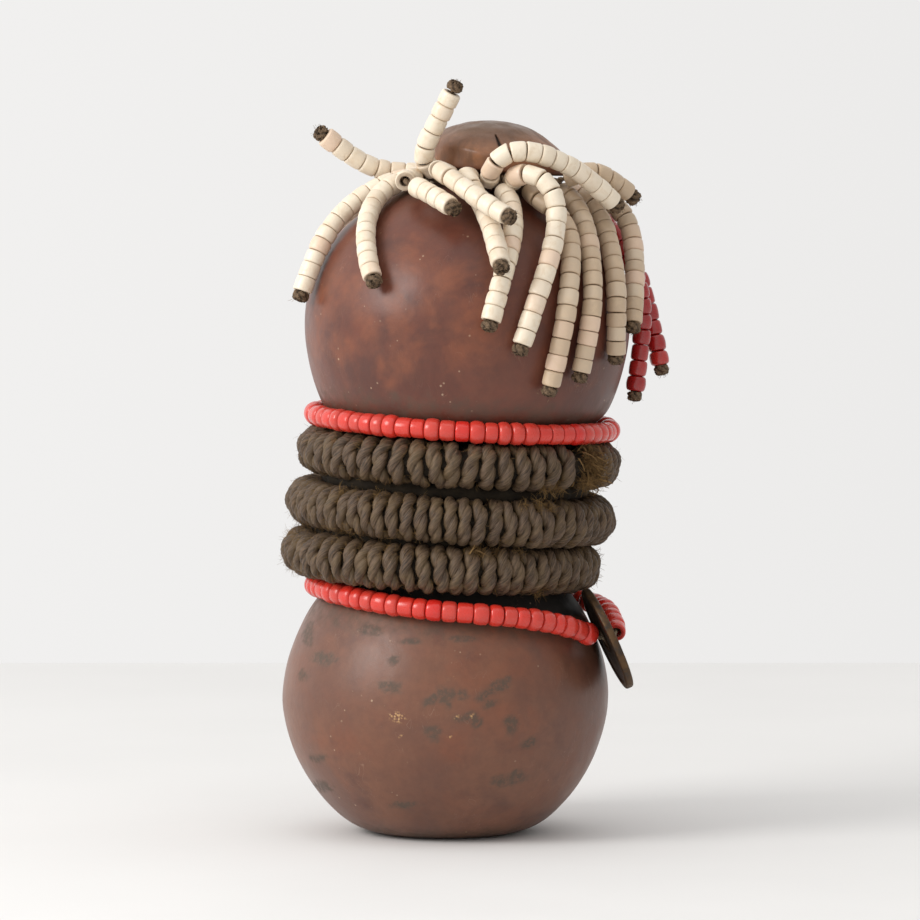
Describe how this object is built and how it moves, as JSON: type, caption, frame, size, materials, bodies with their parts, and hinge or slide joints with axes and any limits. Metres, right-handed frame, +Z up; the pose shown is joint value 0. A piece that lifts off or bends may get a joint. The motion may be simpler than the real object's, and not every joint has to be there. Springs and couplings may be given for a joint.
{
  "type": "gourd rattle",
  "caption": "Standing gourd rattle with two round bulbs, a wooden stopper, a fringe of beaded strands, cord-wrapped coils round the waist and a holed bronze disc.",
  "frame": {"origin": "on the ground, under the middle of the bounding box of the gourd and its coils", "axes": "+Z up along the gourd, -Y the front, +X to the right, where the bronze disc hangs"},
  "size_m": [0.1105, 0.1075, 0.2154],
  "materials": {
    "gourd_skin": "dried gourd skin, oiled and worn to a satin red-brown",
    "stopper_wood": "carved dark wood, hand-polished",
    "bronze": "dark brown bronze patina, rim rubbed brighter",
    "seed": "dry hard seeds",
    "binding_cord": "twisted plant fibre, greasy",
    "core_fibre": "bundle of loose plant fibre",
    "wrap_cord": "two-ply twisted plant-fibre cord, dark and waxed by handling",
    "bead_string": "thin twisted fibre",
    "thong": "twisted sinew or hide thong, matt brown",
    "white_bead": "cream opaque beads with a soft eggshell gloss",
    "coral_bead": "opaque coral-red glass beads, glossy",
    "deep_red_bead": "opaque deep-red glass beads, glossy"
  },
  "bodies": {
    "gourd": {"coil_core_1": "core_fibre", "coil_core_2": "core_fibre", "coil_core_3": "core_fibre", "coil_wrap_1": "wrap_cord", "coil_wrap_2": "wrap_cord", "coil_wrap_3": "wrap_cord", "gourd_shell": "gourd_skin", "lower_ring_beads": "coral_bead", "lower_ring_string": "bead_string", "neck_binding": "binding_cord", "upper_ring_beads": "coral_bead", "upper_ring_string": "bead_string"},
    "stopper_body": {"stopper": "stopper_wood"},
    "seed_body": {"rattle_seeds": "seed"},
    "strand_left_1": {"white_strand_01_cord": "thong", "white_strand_01_beads": "white_bead"},
    "strand_left_2": {"white_strand_02_cord": "thong", "white_strand_02_beads": "white_bead"},
    "strand_left_3": {"white_strand_03_cord": "thong", "white_strand_03_beads": "white_bead"},
    "strand_upright": {"white_strand_04_cord": "thong", "white_strand_04_beads": "white_bead"},
    "strand_turned": {"white_strand_05_cord": "thong", "white_strand_05_beads": "white_bead"},
    "front_bunch": {"white_strand_06_cord": "thong", "white_strand_06_beads": "white_bead", "white_strand_07_cord": "thong", "white_strand_07_beads": "white_bead", "white_strand_08_cord": "thong", "white_strand_08_beads": "white_bead", "white_strand_09_cord": "thong", "white_strand_09_beads": "white_bead", "white_strand_11_cord": "thong", "white_strand_11_beads": "white_bead"},
    "strand_right_arch": {"white_strand_10_cord": "thong", "white_strand_10_beads": "white_bead"},
    "strand_front_12": {"white_strand_12_cord": "thong", "white_strand_12_beads": "white_bead"},
    "strand_right_13": {"white_strand_13_cord": "thong", "white_strand_13_beads": "white_bead"},
    "strand_right_14": {"white_strand_14_cord": "thong", "white_strand_14_beads": "white_bead"},
    "strand_right_15": {"white_strand_15_cord": "thong", "white_strand_15_beads": "white_bead"},
    "strand_back_16": {"white_strand_16_cord": "thong", "white_strand_16_beads": "white_bead"},
    "strand_back_17": {"white_strand_17_cord": "thong", "white_strand_17_beads": "white_bead"},
    "strand_back_18": {"white_strand_18_cord": "thong", "white_strand_18_beads": "white_bead"},
    "red_right_1": {"red_strand_01_cord": "thong", "red_strand_01_beads": "deep_red_bead"},
    "red_right_2": {"red_strand_02_cord": "thong", "red_strand_02_beads": "deep_red_bead"},
    "red_back_3": {"red_strand_03_cord": "thong", "red_strand_03_beads": "deep_red_bead"},
    "disc_body": {"pendant_disc": "bronze"}
  },
  "joints": [
    {"name": "stopper_lift", "type": "slide", "parent": "gourd", "child": "stopper_body", "axis": [0.1045, 0, 0.9945], "range_m": [0, 0.022]},
    {"name": "seeds_rattle", "type": "slide", "parent": "gourd", "child": "seed_body", "axis": [0, 0, 1], "range_m": [0, 0.1]},
    {"name": "strand_left_1_swing", "type": "hinge", "parent": "gourd", "child": "strand_left_1", "pos_m": [-0.0061, -0.0016, 0.1884], "axis": [-0.0921, 0.9958, 0], "range_deg": [0, 18]},
    {"name": "strand_left_2_swing", "type": "hinge", "parent": "gourd", "child": "strand_left_2", "pos_m": [-0.0053, -0.0058, 0.1883], "axis": [-0.3316, 0.9434, 0], "range_deg": [0, 18]},
    {"name": "strand_left_3_swing", "type": "hinge", "parent": "gourd", "child": "strand_left_3", "pos_m": [-0.006, 0.003, 0.1885], "axis": [0.1718, 0.9851, 0], "range_deg": [0, 12]},
    {"name": "strand_upright_swing", "type": "hinge", "parent": "gourd", "child": "strand_upright", "pos_m": [-0.0024, -0.0112, 0.1879], "axis": [0, 0, 1], "range_deg": [0, 6]},
    {"name": "strand_turned_swing", "type": "hinge", "parent": "gourd", "child": "strand_turned", "pos_m": [-0.0041, -0.0086, 0.1882], "axis": [0, 0, -1], "range_deg": [0, 4]},
    {"name": "front_bunch_swing", "type": "hinge", "parent": "gourd", "child": "front_bunch", "pos_m": [0.008, -0.017, 0.1869], "axis": [-1, 0, 0], "range_deg": [0, 6]},
    {"name": "strand_right_arch_swing", "type": "hinge", "parent": "gourd", "child": "strand_right_arch", "pos_m": [0.0239, -0.0124, 0.1854], "axis": [-0.6986, -0.7155, 0], "range_deg": [0, 3]},
    {"name": "strand_front_12_swing", "type": "hinge", "parent": "gourd", "child": "strand_front_12", "pos_m": [0.0198, -0.0154, 0.1857], "axis": [-0.8731, -0.4876, 0], "range_deg": [0, 14]},
    {"name": "strand_right_13_swing", "type": "hinge", "parent": "gourd", "child": "strand_right_13", "pos_m": [0.0269, -0.0076, 0.1848], "axis": [-0.4357, -0.9001, 0], "range_deg": [0, 7]},
    {"name": "strand_right_14_swing", "type": "hinge", "parent": "gourd", "child": "strand_right_14", "pos_m": [0.0279, -0.0036, 0.1848], "axis": [-0.2107, -0.9775, 0], "range_deg": [0, 6]},
    {"name": "strand_right_15_swing", "type": "hinge", "parent": "gourd", "child": "strand_right_15", "pos_m": [0.0283, 0.0006, 0.1847], "axis": [0.0351, -0.9994, 0], "range_deg": [0, 4]},
    {"name": "strand_back_16_swing", "type": "hinge", "parent": "gourd", "child": "strand_back_16", "pos_m": [0.011, 0.0176, 0.1866], "axis": [0.9999, 0.0114, 0], "range_deg": [0, 18]},
    {"name": "strand_back_17_swing", "type": "hinge", "parent": "gourd", "child": "strand_back_17", "pos_m": [0.0002, 0.0135, 0.1878], "axis": [0.7752, 0.6317, 0], "range_deg": [0, 18]},
    {"name": "strand_back_18_swing", "type": "hinge", "parent": "gourd", "child": "strand_back_18", "pos_m": [-0.0046, 0.0078, 0.1884], "axis": [0.4427, 0.8967, 0], "range_deg": [0, 18]},
    {"name": "red_right_1_swing", "type": "hinge", "parent": "gourd", "child": "red_right_1", "pos_m": [0.0278, 0.0046, 0.1848], "axis": [0.267, -0.9637, 0], "range_deg": [0, 18]},
    {"name": "red_right_2_swing", "type": "hinge", "parent": "gourd", "child": "red_right_2", "pos_m": [0.026, 0.0088, 0.185], "axis": [0.5111, -0.8595, 0], "range_deg": [0, 20]},
    {"name": "red_back_3_swing", "type": "hinge", "parent": "gourd", "child": "red_back_3", "pos_m": [0.0198, 0.0149, 0.1856], "axis": [0.8661, -0.4999, 0], "range_deg": [0, 25]},
    {"name": "disc_spin", "type": "hinge", "parent": "gourd", "child": "disc_body", "pos_m": [0.043, -0.0176, 0.0571], "axis": [0.9056, 0.1217, 0.4062], "continuous": true}
  ]
}
